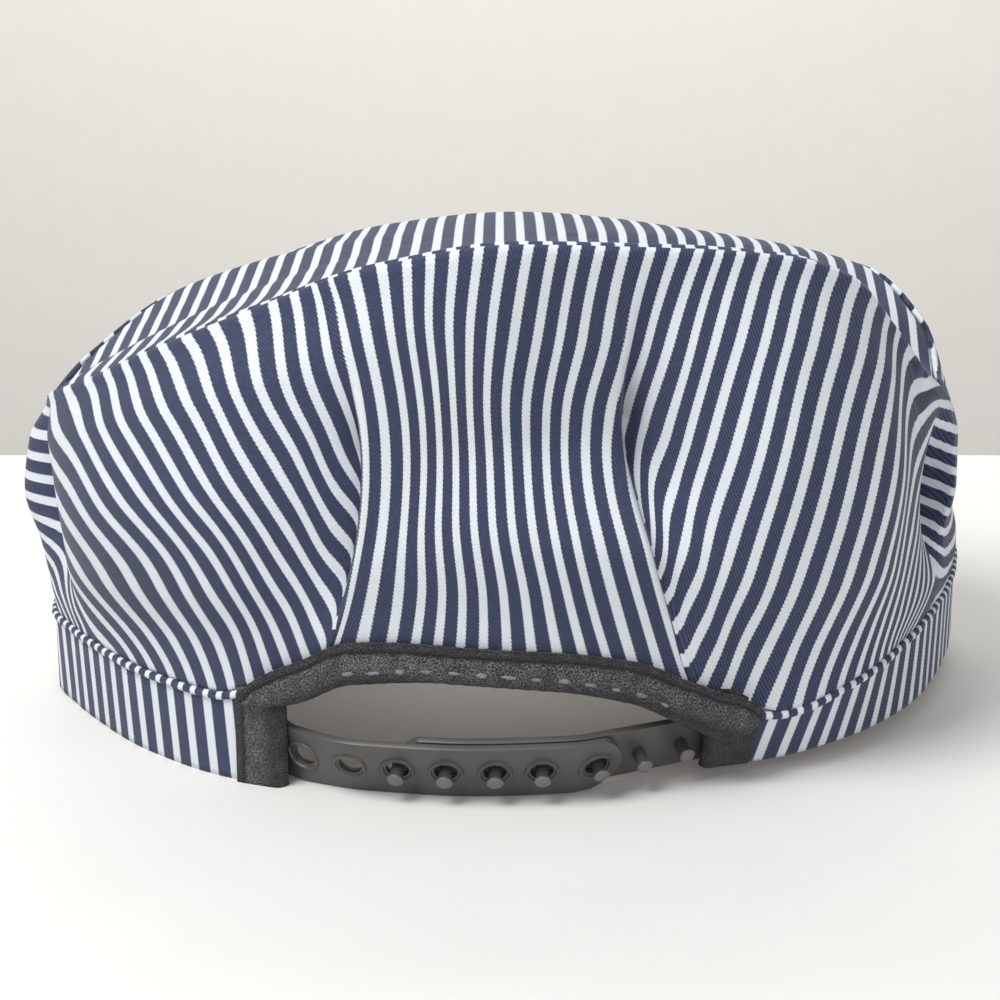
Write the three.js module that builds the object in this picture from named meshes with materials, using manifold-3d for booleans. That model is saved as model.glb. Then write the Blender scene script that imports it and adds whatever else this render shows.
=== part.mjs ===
// Conductor cap lying on a flat surface, seen with its strap side towards -Y and its peak towards +Y.
// Millimetres, +Z up. Soft cloth crown on a stiff band, with an arched gap and a snap strap at the back.
import * as THREE from 'three';
import Module from 'manifold-3d';
import { mergeVertices } from 'three/addons/utils/BufferGeometryUtils.js';

// Driving dimensions
const OVAL = { x: 4, y: 33, halfWidth: 110, halfDepth: 75 };
const CLOTH = 1.2;
const GAP = 0.35;
const BAND = { thickness: 2.2 };
const TAPE = { thickness: 0.8, height: 8.6, endWidth: 9, endShare: 0.2, clearance: 0.65 };
const ARCH_TAPER = 0.2;
const TOP_SEAM_INSET = CLOTH / 2 + GAP + 0.35;
const CROWN_CENTRE = { height: 109, fall: 1.9 };
const PEAK = { halfAngle: 56, depth: 47, tipDepth: 3, thickness: 3, arch: 5, lowest: -0.4, rootAbove: 3 };
const STRAP = { endRadius: 7.8, thickness: 1.5, layerGap: 0.4, pitch: 9.8, holes: 7, firstHole: -40.4, hole: 5.0, rim: 7.4, rimRise: 0.35 };
const STUD = { neck: 2.8, head: 3.6, headLength: 0.9, standsOut: 2.6, filled: 5, free: 2 };
const STRAP_END = { left: -54, holedTip: 23.8, studdedTip: -21, right: 54 };
const STRAP_COLUMNS = 16;
const FOOT_OUT = 0.4;
const ARCH_LEAN = 0.25;

// Angles round the oval, in degrees from the middle of the back towards +X
const BAND_END = { left: -28.6, right: 24.2 };
const ARCH_END = { left: -32.4, right: 29.0 };

// Band: share of the oval's size at its upper edge, height of its lower edge above the surface,
// its height, and how far its lower edge is pressed inwards
const bandRows = [
  { angle: -180, share: 1.0, lift: 7.0, height: 19.4, tuck: 0 },
  { angle: -140, share: 1.01, lift: 4.5, height: 19.4, tuck: 0 },
  { angle: -100, share: 1.01, lift: 1.0, height: 19.4, tuck: 0 },
  { angle: -87, share: 1.0, lift: 0.4, height: 19.4, tuck: 0 },
  { angle: -76, share: 0.965, lift: 0.2, height: 19.4, tuck: 0 },
  { angle: -65, share: 0.952, lift: 0.1, height: 19.4, tuck: 0 },
  { angle: -50, share: 0.968, lift: 0.0, height: 19.4, tuck: 0 },
  { angle: -32, share: 1.0, lift: 0.0, height: 19.4, tuck: 0 },
  { angle: 0, share: 0.99, lift: 1.0, height: 16.0, tuck: 1.5 },
  { angle: 24, share: 0.955, lift: 3.0, height: 11.2, tuck: 4.0 },
  { angle: 34, share: 0.97, lift: 3.3, height: 12.0, tuck: 4.4 },
  { angle: 45, share: 0.955, lift: 4.0, height: 14.9, tuck: 3.5 },
  { angle: 62, share: 0.912, lift: 4.6, height: 18.0, tuck: 0.6 },
  { angle: 74, share: 0.905, lift: 5.0, height: 19.2, tuck: 0 },
  { angle: 86, share: 0.925, lift: 5.6, height: 19.4, tuck: 0 },
  { angle: 98, share: 0.975, lift: 6.8, height: 19.4, tuck: 0 },
  { angle: 113, share: 1.06, lift: 8.5, height: 19.4, tuck: 0 },
  { angle: 126, share: 1.08, lift: 8.5, height: 19.4, tuck: 0 },
  { angle: 150, share: 1.03, lift: 8.0, height: 19.4, tuck: 0 },
  { angle: 180, share: 1.0, lift: 7.0, height: 19.4, tuck: 0 },
];

// Arched gap over the strap: how far the wall's foot rises above the band's upper edge
const archRows = [
  { angle: -180, rise: 0 },
  { angle: -36, rise: 0 },
  { angle: -32.5, rise: 2.4 },
  { angle: -26, rise: 4.4 },
  { angle: -18, rise: 9.4 },
  { angle: -8, rise: 11.8 },
  { angle: 4, rise: 11.2 },
  { angle: 12, rise: 9.4 },
  { angle: 20, rise: 5.0 },
  { angle: 29.1, rise: 2.4 },
  { angle: 33, rise: 0 },
  { angle: 180, rise: 0 },
];

// Course of the strap's inner half at the back: place across, place in depth, lower edge's height,
// how far its upper edge leans outwards in degrees, and its width
const strapRows = [
  { x: -54, y: -21.4, lift: 0.5, lean: 2, width: 12 },
  { x: -46.5, y: -25.1, lift: 0.7, lean: 5, width: 12.8 },
  { x: -41, y: -29.3, lift: 1.1, lean: 19, width: 14.2 },
  { x: -28, y: -34.4, lift: 1.45, lean: 31, width: 16 },
  { x: -5, y: -37.6, lift: 1.5, lean: 31, width: 16 },
  { x: 13, y: -36.9, lift: 1.8, lean: 31, width: 16 },
  { x: 22, y: -33.9, lift: 2.4, lean: 31, width: 15.6 },
  { x: 31.5, y: -30.3, lift: 2.9, lean: 27, width: 14 },
  { x: 39.5, y: -27.0, lift: 3.2, lean: 20, width: 12.2 },
  { x: 54, y: -22.0, lift: 3.4, lean: 18, width: 11.4 },
];

// Edge of the flat top: share of the oval's size and height, a row for each change in its course
const ridgeRows = [
  { angle: -180, share: 0.92, height: 103.5 },
  { angle: -160, share: 0.93, height: 100.5 },
  { angle: -140, share: 0.95, height: 92.5 },
  { angle: -125, share: 0.97, height: 87.5 },
  { angle: -108, share: 0.99, height: 77.5 },
  { angle: -90, share: 0.995, height: 72.0 },
  { angle: -75, share: 1.0, height: 77.0 },
  { angle: -60, share: 1.0, height: 84.0 },
  { angle: -45, share: 1.01, height: 94.0 },
  { angle: -30, share: 1.03, height: 105.0 },
  { angle: -15, share: 1.05, height: 116.0 },
  { angle: 0, share: 1.05, height: 121.2 },
  { angle: 15, share: 1.04, height: 120.0 },
  { angle: 30, share: 1.02, height: 116.5 },
  { angle: 40, share: 0.99, height: 110.5 },
  { angle: 50, share: 0.96, height: 98.0 },
  { angle: 62, share: 0.94, height: 84.0 },
  { angle: 80, share: 0.915, height: 75.0 },
  { angle: 92, share: 0.928, height: 71.5 },
  { angle: 104, share: 0.962, height: 72.0 },
  { angle: 113, share: 0.995, height: 83.0 },
  { angle: 125, share: 0.99, height: 94.0 },
  { angle: 150, share: 0.955, height: 99.0 },
  { angle: 180, share: 0.92, height: 103.5 },
];

// Folds of the wall: where each upright line runs, as angles at foot, middle and ridge,
// and how far it stands out of the straight wall low, at the middle and high up
const foldRows = [
  { name: 'front', foot: -180, middle: -180, ridge: -180, low: 5, mid: 6, high: 3 },
  { name: 'front left', foot: -148, middle: -148, ridge: -148, low: 5, mid: 6, high: 3 },
  { name: 'side front left', foot: -120, middle: -120, ridge: -120, low: 5, mid: 6, high: 3 },
  { name: 'side puff left', foot: -97, middle: -98, ridge: -98, low: 4, mid: 7.5, high: 5 },
  { name: 'side crest left', foot: -87, middle: -88, ridge: -89, low: 3, mid: 6.5, high: 5 },
  { name: 'side valley left', foot: -77, middle: -77, ridge: -80, low: -2, mid: -7, high: -4 },
  { name: 'back puff edge left', foot: -69, middle: -70, ridge: -72, low: 3, mid: 3, high: 3 },
  { name: 'back puff left', foot: -50, middle: -48, ridge: -50, low: 6, mid: 9, high: 6 },
  { name: 'back crest left', foot: -34, middle: -32, ridge: -34, low: 6, mid: 9, high: 7 },
  { name: 'pleat root left', foot: -23, middle: -16.6, ridge: -20.8, low: 0, mid: 0, high: 4 },
  { name: 'pleat edge left', foot: -22, middle: -15.6, ridge: -19.6, low: 4, mid: 4.5, high: 4 },
  { name: 'back panel left', foot: -11, middle: -9, ridge: -11, low: 4, mid: 1, high: 1 },
  { name: 'back panel', foot: 0, middle: -2, ridge: -3, low: 4, mid: -2, high: -1 },
  { name: 'back panel right', foot: 11, middle: 5, ridge: 5, low: 4, mid: -7, high: -4 },
  { name: 'pleat edge right', foot: 21, middle: 11.4, ridge: 13, low: 4, mid: -9, high: -4 },
  { name: 'pleat root right', foot: 22, middle: 12.8, ridge: 14.6, low: 0, mid: -12, high: -4 },
  { name: 'puff rise right', foot: 27.5, middle: 18, ridge: 20, low: 4, mid: -1, high: 1 },
  { name: 'back crest right', foot: 36, middle: 30, ridge: 32, low: 6, mid: 9, high: 6 },
  { name: 'back puff right', foot: 46, middle: 43, ridge: 45, low: 6, mid: 9, high: 5 },
  { name: 'back puff edge right', foot: 54, middle: 55, ridge: 55, low: 2, mid: 2, high: 1 },
  { name: 'side valley right', foot: 66, middle: 80, ridge: 69, low: -4, mid: -7, high: -3 },
  { name: 'side crest right', foot: 84, middle: 77, ridge: 84, low: 1, mid: 3, high: 2 },
  { name: 'side puff right', foot: 104, middle: 104, ridge: 104, low: 0, mid: 1, high: 2 },
  { name: 'front right', foot: 140, middle: 140, ridge: 140, low: 5, mid: 6, high: 3 },
  { name: 'front again', foot: 180, middle: 180, ridge: 180, low: 5, mid: 6, high: 3 },
];
const HEM = { share: 0.13, out: 1.0 };
const FOLD_SHARES = [0, HEM.share, 0.32, 0.56, 0.8, 1];

const radians = THREE.MathUtils.degToRad;

// Smooth curve through knots that close on themselves, with no overshoot between them
function smooth(xs, ys, x) {
  let i = xs.length - 2;
  while (i > 0 && x < xs[i]) i -= 1;
  const last = xs.length - 2;
  const width = (k) => xs[k + 1] - xs[k];
  const slope = (k) => (ys[k + 1] - ys[k]) / width(k);
  const tangent = (k) => {
    const before = k === 0 ? last : k - 1;
    const after = k > last ? 0 : k;
    if (slope(before) * slope(after) <= 0) return 0;
    const nearBefore = width(before) + 2 * width(after);
    const nearAfter = 2 * width(before) + width(after);
    return (nearBefore + nearAfter) / (nearAfter / slope(before) + nearBefore / slope(after));
  };
  const t = (x - xs[i]) / width(i);
  const value = ys[i] * (1 + 2 * t) * (1 - t) ** 2 + ys[i + 1] * t * t * (3 - 2 * t);
  return value + width(i) * (tangent(i) * t * (1 - t) ** 2 - tangent(i + 1) * t * t * (1 - t));
}

function wrapAngle(angle) {
  return ((((angle + 180) % 360) + 360) % 360) - 180;
}

function track(rows, key, angle) {
  return smooth(rows.map((row) => row.angle), rows.map((row) => row[key]), wrapAngle(angle));
}

// Outward direction of the oval in plan
function outwardAt(angle) {
  const turn = radians(angle);
  return new THREE.Vector3(Math.sin(turn) / OVAL.halfWidth, -Math.cos(turn) / OVAL.halfDepth, 0).normalize();
}

// Point on the oval, scaled by a share and pushed out of it
function ovalPoint(angle, share, height, out = 0) {
  const turn = radians(angle);
  const x = OVAL.x + share * OVAL.halfWidth * Math.sin(turn);
  const y = OVAL.y - share * OVAL.halfDepth * Math.cos(turn);
  return new THREE.Vector3(x, y, height).addScaledVector(outwardAt(angle), out);
}

// Band's middle surface, v from its lower to its upper edge
function bandPoint(angle, v) {
  const height = track(bandRows, 'lift', angle) + v * track(bandRows, 'height', angle);
  return ovalPoint(angle, track(bandRows, 'share', angle), height, -track(bandRows, 'tuck', angle) * (1 - v));
}

function footPoint(angle) {
  const rise = track(archRows, 'rise', angle);
  const point = bandPoint(angle, 1).addScaledVector(outwardAt(angle), FOOT_OUT + ARCH_LEAN * rise);
  point.z += GAP + rise;
  return point;
}

const ridgePoint = (angle) => ovalPoint(angle, track(ridgeRows, 'share', angle), track(ridgeRows, 'height', angle));

// Point between foot and ridge at share v, standing out of the straight line
function hangingPoint(angle, v, out) {
  return footPoint(angle).lerp(ridgePoint(angle), v).addScaledVector(outwardAt(angle), out);
}

// Unit normal of a surface given by a function of two shares
function normalOf(surface, u, v, step = 0.001) {
  const along = surface(u + step, v).sub(surface(u - step, v));
  const up = surface(u, Math.min(v + step, 1)).sub(surface(u, Math.max(v - step, 0)));
  return along.cross(up).normalize();
}

function offset(surface, u, v, distance) {
  return surface(u, v).addScaledVector(normalOf(surface, u, v), distance);
}

// Moves every vertex of a stock geometry to the place that a function gives for it
function mapped(geometry, place) {
  const position = geometry.attributes.position;
  const source = new THREE.Vector3();
  for (let i = 0; i < position.count; i += 1) {
    source.fromBufferAttribute(position, i);
    const target = place(source, geometry.attributes.uv.getX(i), geometry.attributes.uv.getY(i));
    position.setXYZ(i, target.x, target.y, target.z);
  }
  geometry.computeVertexNormals();
  return geometry;
}

// Closed sheet of even thickness over a surface function of two shares
function sheet(surface, thickness, columns, rows) {
  const box = new THREE.BoxGeometry(1, 1, 1, columns, rows, 1);
  return mapped(box, (p) => offset(surface, p.x + 0.5, p.y + 0.5, p.z * thickness));
}

// Height share of a row of the wall: two rows in the flat hem, the others evenly above it
function wallShare(row, rows) {
  return row <= 2 ? (row / 2) * HEM.share : HEM.share + ((row - 2) / (rows - 2)) * (1 - HEM.share);
}

// Closed ring wall: up the outer face, over the rim and down the inner face
function ringWall(surface, thickness, columns, rows) {
  const sides = 2 * (rows + 1);
  const ring = new THREE.TorusGeometry(2, 1, sides, columns);
  return mapped(ring, (p, aroundShare, sectionShare) => {
    const j = Math.round(sectionShare * sides) % sides;
    const outer = j <= rows;
    const v = wallShare(outer ? j : sides - 1 - j, rows);
    return offset(surface, aroundShare, v, outer ? thickness / 2 : -thickness / 2);
  });
}

// Crown wall: an upright line of the fold table, at height share v
function wallSurface(u, v) {
  const index = foldRows.map((row, k) => k);
  const line = (((u % 1) + 1) % 1) * (foldRows.length - 1);
  const value = (key) => smooth(index, foldRows.map((row) => row[key]), line);
  const footPart = (1 - v) * (1 - 2 * v);
  const middlePart = 4 * v * (1 - v);
  const angle = value('foot') * footPart + value('middle') * middlePart + value('ridge') * (1 - footPart - middlePart);
  return hangingPoint(angle, v, smooth(FOLD_SHARES, [0, HEM.out, value('low'), value('mid'), value('high'), 0], v));
}

// Crown top: one panel set inside the wall's upper edge
function topPoint(turn, reach) {
  const angle = turn * 360 - 180;
  const edge = ridgePoint(angle).addScaledVector(outwardAt(angle), -TOP_SEAM_INSET);
  const point = new THREE.Vector3(OVAL.x, OVAL.y, 0).lerp(edge, reach);
  point.z = CROWN_CENTRE.height + (edge.z - CROWN_CENTRE.height) * reach ** CROWN_CENTRE.fall;
  return point;
}

function panel(surface, thickness, columns, rings) {
  const sides = 2 * rings + 1;
  const ball = new THREE.SphereGeometry(1, columns, sides);
  const step = 0.001;
  return mapped(ball, (p, turn, poleShare) => {
    const j = Math.round((1 - poleShare) * sides);
    const upper = j <= rings;
    const reach = (upper ? j : sides - j) / rings;
    const side = (upper ? 0.5 : -0.5) * thickness;
    if (reach === 0) return surface(0, 0).add(new THREE.Vector3(0, 0, side));
    const along = surface(turn + step, reach).sub(surface(turn - step, reach));
    const outward = surface(turn, reach).sub(surface(turn, reach - step));
    return surface(turn, reach).addScaledVector(outward.cross(along).normalize(), side);
  });
}

// Folded tape: a U in section that passes round the edge of what it binds, walked by share
function foldedSection(share, halfGap, leg) {
  const bend = Math.PI * halfGap;
  const walked = share * (2 * leg + bend);
  if (walked < leg) return { across: halfGap, along: leg - walked };
  if (walked > leg + bend) return { across: -halfGap, along: walked - leg - bend };
  const turn = (walked - leg) / halfGap;
  return { across: halfGap * Math.cos(turn), along: -halfGap * Math.sin(turn) };
}

// Binding of the arch, folded round the foot of the wall
function archBinding(u, v) {
  const angle = ARCH_END.left + u * (ARCH_END.right - ARCH_END.left);
  const endShare = Math.min(1, Math.min(u, 1 - u) / ARCH_TAPER);
  const leg = TAPE.height * (TAPE.endShare + (1 - TAPE.endShare) * Math.sin((endShare * Math.PI) / 2));
  const { across, along } = foldedSection(1 - v, CLOTH / 2 + TAPE.clearance + TAPE.thickness / 2, leg);
  const hem = (turn, share) => hangingPoint(turn, share, (HEM.out * share) / HEM.share);
  const wallHeight = footPoint(angle).distanceTo(ridgePoint(angle));
  const point = offset(hem, angle, Math.max(along, 0) / wallHeight, across);
  const up = ridgePoint(angle).sub(footPoint(angle)).normalize();
  return point.addScaledVector(up, Math.min(along, 0) - GAP);
}

// Binding of one end of the band; ahead is +1 where the band runs on towards larger angles
function endBinding(endAngle, ahead) {
  const scale = ovalPoint(endAngle + 1, 1, 0).distanceTo(ovalPoint(endAngle, 1, 0));
  return (u, v) => {
    const { across, along } = foldedSection(u, BAND.thickness / 2 + GAP + TAPE.thickness / 2, TAPE.endWidth);
    const angle = endAngle + (ahead * (along - GAP)) / scale;
    return bandPoint(angle, v).addScaledVector(outwardAt(angle), -ahead * across);
  };
}

// Peak: from the band's lower front edge, forwards and down to the surface at both sides
function peakSurface(u, v) {
  const across = 2 * u - 1;
  const angle = 180 + across * PEAK.halfAngle;
  const root = bandPoint(angle, 0).addScaledVector(outwardAt(angle), BAND.thickness / 2 + 2 * GAP);
  root.z += PEAK.rootAbove;
  const fullness = Math.max(1 - Math.abs(across) ** 2.4, 0) ** 0.6;
  const depth = PEAK.tipDepth + PEAK.depth * fullness;
  const archShare = Math.max(Math.cos((Math.PI * across) / 1.5), 0) ** 2;
  const edgeHeight = root.z + (PEAK.lowest + PEAK.arch * archShare - root.z) * fullness;
  const edge = root.clone().addScaledVector(outwardAt(angle), depth * 0.35);
  edge.y += depth * 0.65;
  edge.z = edgeHeight;
  const point = root.clone().lerp(edge, v);
  point.z = root.z + (edgeHeight - root.z) * v ** 1.2;
  return point;
}

// Strap: place x across, width share v, standing out of the inner half's course
function strapPoint(x, v, out) {
  const xs = strapRows.map((row) => row.x);
  const value = (key, place = x) => smooth(xs, strapRows.map((row) => row[key]), place);
  const plan = new THREE.Vector3(value('y', x + 0.5) - value('y'), -0.5, 0).normalize();
  const lean = radians(value('lean'));
  const up = plan.clone().multiplyScalar(Math.sin(lean)).setZ(Math.cos(lean));
  const outward = plan.clone().multiplyScalar(Math.cos(lean)).setZ(-Math.sin(lean));
  const foot = new THREE.Vector3(x, value('y'), value('lift'));
  return foot.addScaledVector(up, v * value('width')).addScaledVector(outward, out);
}

// Flat strip with one rounded end, bent along the strap's course
function strapStrip(fromX, toX, out, roundAt) {
  const strip = new THREE.BoxGeometry(1, 1, 1, STRAP_COLUMNS, 4, 1);
  return mapped(strip, (p) => {
    const along = p.x + 0.5;
    const across = p.y;
    const round = STRAP.endRadius * (1 - Math.sqrt(Math.max(0, 1 - (2 * across * 0.94) ** 2)));
    const start = roundAt < 0 ? fromX + round : fromX;
    const end = roundAt > 0 ? toX - round : toX;
    return strapPoint(start + along * (end - start), across + 0.5, out + p.z * STRAP.thickness);
  });
}

// Short cylinder standing out of the strap at one place, from one depth to another
function strapPin(x, radius, from, to, sides = 12) {
  const pin = new THREE.CylinderGeometry(radius, radius, to - from, sides);
  const centre = strapPoint(x, 0.5, (from + to) / 2);
  const axis = strapPoint(x, 0.5, to).sub(strapPoint(x, 0.5, from)).normalize();
  pin.applyQuaternion(new THREE.Quaternion().setFromUnitVectors(new THREE.Vector3(0, 1, 0), axis));
  return pin.translate(centre.x, centre.y, centre.z);
}

const wasm = await Module();
wasm.setup();

function toSolid(geometry) {
  const bare = geometry.clone();
  bare.deleteAttribute('normal');
  bare.deleteAttribute('uv');
  const merged = mergeVertices(bare, 1e-4);
  const vertProperties = new Float32Array(merged.attributes.position.array);
  const triVerts = new Uint32Array(merged.index.array);
  return new wasm.Manifold(new wasm.Mesh({ numProp: 3, vertProperties, triVerts }));
}

function fromSolid(solid) {
  const mesh = solid.getMesh();
  const geometry = new THREE.BufferGeometry();
  geometry.setAttribute('position', new THREE.BufferAttribute(new Float32Array(mesh.vertProperties), 3));
  geometry.setIndex(new THREE.BufferAttribute(new Uint32Array(mesh.triVerts), 1));
  geometry.computeVertexNormals();
  return geometry;
}

// Outer half of the strap, with its row of rimmed holes
function holedStrap() {
  const out = STRAP.thickness + STRAP.layerGap;
  const face = out + STRAP.thickness / 2;
  let solid = toSolid(strapStrip(STRAP_END.left, STRAP_END.holedTip, out, 1));
  for (let k = 0; k < STRAP.holes; k += 1) {
    const x = STRAP.firstHole + k * STRAP.pitch;
    solid = solid.add(toSolid(strapPin(x, STRAP.rim / 2, out, face + STRAP.rimRise)));
  }
  for (let k = 0; k < STRAP.holes; k += 1) {
    const x = STRAP.firstHole + k * STRAP.pitch;
    solid = solid.subtract(toSolid(strapPin(x, STRAP.hole / 2, out - STRAP.thickness, face + 2 * STRAP.rimRise)));
  }
  return fromSolid(solid);
}

// Inner half of the strap, with a headed stud through each of the last holes and two left free
function studdedStrap() {
  let solid = toSolid(strapStrip(STRAP_END.studdedTip, STRAP_END.right, 0, -1));
  const first = STRAP.holes - STUD.filled;
  for (let k = first; k < STRAP.holes + STUD.free; k += 1) {
    const x = STRAP.firstHole + k * STRAP.pitch;
    const face = 1.5 * STRAP.thickness + STRAP.layerGap + STRAP.rimRise;
    const tip = face + STUD.standsOut;
    solid = solid.add(toSolid(strapPin(x, STUD.neck / 2, 0, tip - STUD.headLength / 2)));
    solid = solid.add(toSolid(strapPin(x, STUD.head / 2, tip - STUD.headLength, tip)));
  }
  return fromSolid(solid);
}

const group = new THREE.Group();

function add(name, geometry, colour, roughness) {
  const material = new THREE.MeshStandardMaterial({ color: colour, roughness, metalness: 0 });
  const mesh = new THREE.Mesh(geometry, material);
  mesh.name = name;
  group.add(mesh);
}

const CLOTH_COLOUR = 0x6d7488;
const TAPE_COLOUR = 0x26272b;
const PLASTIC_COLOUR = 0x2f3034;

const bandSurface = (u, v) => bandPoint(BAND_END.right + u * (360 + BAND_END.left - BAND_END.right), v);

add('crown_wall', ringWall(wallSurface, CLOTH, 4 * (foldRows.length - 1), 11), CLOTH_COLOUR, 0.9);
add('crown_top', panel(topPoint, CLOTH, 72, 8), CLOTH_COLOUR, 0.9);
add('headband', sheet(bandSurface, BAND.thickness, 80, 1), CLOTH_COLOUR, 0.9);
add('peak', sheet(peakSurface, PEAK.thickness, 26, 4), CLOTH_COLOUR, 0.9);
add('arch_binding', sheet(archBinding, TAPE.thickness, 24, 6), TAPE_COLOUR, 0.9);
add('end_binding_left', sheet(endBinding(BAND_END.left, -1), TAPE.thickness, 10, 1), TAPE_COLOUR, 0.9);
add('end_binding_right', sheet(endBinding(BAND_END.right, 1), TAPE.thickness, 10, 1), TAPE_COLOUR, 0.9);
add('strap_holes', holedStrap(), PLASTIC_COLOUR, 0.45);
add('strap_studs', studdedStrap(), PLASTIC_COLOUR, 0.45);

// The origin is the middle of the whole cap's underside
const extent = new THREE.Box3().setFromObject(group);
const middle = extent.getCenter(new THREE.Vector3());
group.position.set(-middle.x, -middle.y, -extent.min.z);

export default group;
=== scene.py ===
import math

import bmesh
import bpy
import numpy as np
from mathutils import Matrix, Vector


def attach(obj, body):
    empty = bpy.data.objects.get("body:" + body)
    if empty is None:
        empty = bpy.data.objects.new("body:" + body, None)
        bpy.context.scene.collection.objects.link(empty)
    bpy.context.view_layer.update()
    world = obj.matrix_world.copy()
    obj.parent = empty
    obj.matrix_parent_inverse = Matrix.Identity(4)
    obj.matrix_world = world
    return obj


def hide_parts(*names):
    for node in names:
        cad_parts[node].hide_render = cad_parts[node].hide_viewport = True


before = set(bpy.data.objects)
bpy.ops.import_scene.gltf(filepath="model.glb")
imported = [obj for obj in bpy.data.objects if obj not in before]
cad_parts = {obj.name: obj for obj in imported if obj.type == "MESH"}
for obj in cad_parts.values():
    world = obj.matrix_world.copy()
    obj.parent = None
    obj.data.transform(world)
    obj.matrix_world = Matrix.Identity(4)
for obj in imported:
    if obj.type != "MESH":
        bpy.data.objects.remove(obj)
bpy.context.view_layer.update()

# Crown wall. One flat ring of navy and white striped cotton twill, folded into a box pleat at the back.
# It is sewn to the band below and to the round top panel above, and its slack hangs in soft puffs
# between the upright folds that the table below follows round the head.
MM = 0.001
PATTERN_ORIGIN = np.array((-0.0045, 55.2246, 0.0))
HEAD_OVAL = {"x": 4.0, "y": 33.0, "half_width": 110.0, "half_depth": 75.0}
CLOTH_THICKNESS = 1.2
SEWING_GAP = 0.35
FOOT_OUT = 0.4
ARCH_LEAN = 0.25
STRIPE_PITCH = 4.8


def table(columns, rows):
    """Gives each column of a table of rows by its name."""
    return dict(zip(columns.split(), np.array(rows, dtype=float).T))


band_rows = table("angle share lift height tuck", [
    (-180, 1.0, 7.0, 19.4, 0),
    (-140, 1.01, 4.5, 19.4, 0),
    (-100, 1.01, 1.0, 19.4, 0),
    (-87, 1.0, 0.4, 19.4, 0),
    (-76, 0.965, 0.2, 19.4, 0),
    (-65, 0.952, 0.1, 19.4, 0),
    (-50, 0.968, 0.0, 19.4, 0),
    (-32, 1.0, 0.0, 19.4, 0),
    (0, 0.99, 1.0, 16.0, 1.5),
    (24, 0.955, 3.0, 11.2, 4.0),
    (34, 0.97, 3.3, 12.0, 4.4),
    (45, 0.955, 4.0, 14.9, 3.5),
    (62, 0.912, 4.6, 18.0, 0.6),
    (74, 0.905, 5.0, 19.2, 0),
    (86, 0.925, 5.6, 19.4, 0),
    (98, 0.975, 6.8, 19.4, 0),
    (113, 1.06, 8.5, 19.4, 0),
    (126, 1.08, 8.5, 19.4, 0),
    (150, 1.03, 8.0, 19.4, 0),
    (180, 1.0, 7.0, 19.4, 0),
])
arch_rows = table("angle rise", [
    (-180, 0),
    (-36, 0),
    (-32.5, 2.4),
    (-26, 4.4),
    (-18, 9.4),
    (-8, 11.8),
    (4, 11.2),
    (12, 9.4),
    (20, 5.0),
    (29.1, 2.4),
    (33, 0),
    (180, 0),
])
ridge_rows = table("angle share height", [
    (-180, 0.92, 103.5),
    (-160, 0.93, 100.5),
    (-140, 0.95, 92.5),
    (-125, 0.97, 87.5),
    (-108, 0.99, 77.5),
    (-90, 0.995, 72.0),
    (-75, 1.0, 77.0),
    (-60, 1.0, 84.0),
    (-45, 1.01, 94.0),
    (-30, 1.03, 105.0),
    (-15, 1.05, 116.0),
    (0, 1.05, 121.2),
    (15, 1.04, 120.0),
    (30, 1.02, 116.5),
    (40, 0.99, 110.5),
    (50, 0.96, 98.0),
    (62, 0.94, 84.0),
    (80, 0.915, 75.0),
    (92, 0.928, 71.5),
    (104, 0.962, 72.0),
    (113, 0.995, 83.0),
    (125, 0.99, 94.0),
    (150, 0.955, 99.0),
    (180, 0.92, 103.5),
])

# Upright lines of the wall in order round the head: their angles at foot, middle and ridge, and how far
# the cloth stands out of the straight wall low, at the middle and high up
fold_rows = table("foot middle ridge low mid high", [
    (-180, -180, -180, 5, 6, 3),
    (-148, -148, -148, 5, 6, 3),
    (-120, -120, -120, 5, 6, 3),
    (-97, -98, -98, 4, 7.5, 5),
    (-87, -88, -89, 3, 6.5, 5),
    (-77, -77, -80, -2, -9, -5),
    (-69, -70, -72, 3, 3, 3),
    (-50, -48, -50, 6, 9, 6),
    (-34, -32, -34, 6, 9, 7),
    (-23, -16.6, -20.8, 0, 0, 4),
    (-22, -15.6, -19.6, 4, 4.5, 4),
    (-11, -9, -11, 4, 1, 1),
    (0, -2, -3, 4, -2, -1),
    (11, 5, 5, 4, -7, -4),
    (21, 11.4, 13, 4, -9, -4),
    (22, 12.8, 14.6, 0, -15, -5),
    (27.5, 18, 20, 3.5, -3, 0),
    (36, 30, 32, 6, 9, 6),
    (46, 43, 45, 6, 9, 5),
    (54, 55, 55, 2, 2, 1),
    (66, 80, 69, -4, -7, -3),
    (84, 77, 84, 1, 3, 2),
    (104, 104, 104, 0, 1, 2),
    (140, 140, 140, 5, 6, 3),
    (180, 180, 180, 5, 6, 3),
])
FOLD_LINES = len(fold_rows["foot"])
PLEAT_ROOT_LEFT, PLEAT_EDGE_LEFT = 9, 10
PLEAT_MIDDLE = 12
PLEAT_EDGE_RIGHT, PLEAT_ROOT_RIGHT = 14, 15
HEM_SHARE = 0.13
HEM_OUT = 1.0
FOLD_SHARES = [0, HEM_SHARE, 0.32, 0.56, 0.8, 1]
RIDGE_ROLL = {"share": 0.02, "inwards": 0.7, "drop": 0.5}
COLUMNS_A_FOLD = 18
WALL_ROWS = 84


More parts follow.
